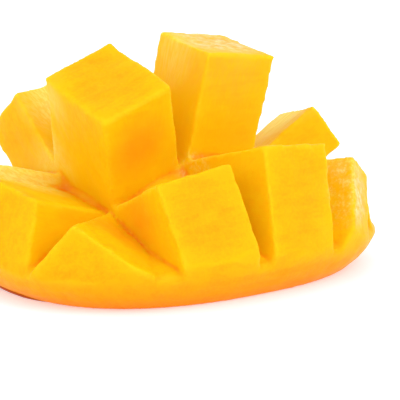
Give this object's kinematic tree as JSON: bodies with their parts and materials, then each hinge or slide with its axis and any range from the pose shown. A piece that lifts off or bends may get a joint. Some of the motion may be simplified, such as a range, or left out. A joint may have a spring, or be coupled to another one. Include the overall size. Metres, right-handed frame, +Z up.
{
  "type": "cubed mango half",
  "caption": "Half a mango cut in a grid and pushed inside out, so that cubes of yellow flesh fan out over a peel that forms a hollow dome.",
  "frame": {"origin": "on the table, under the middle of the half", "axes": "+X along the fruit, +Y towards its far long side, +Z up from the table"},
  "size_m": [0.1242, 0.0978, 0.0673],
  "materials": {
    "flesh": "moist, satin",
    "peel": "smooth, satin"
  },
  "bodies": {
    "root": {"mango_half": "flesh"}
  },
  "joints": []
}
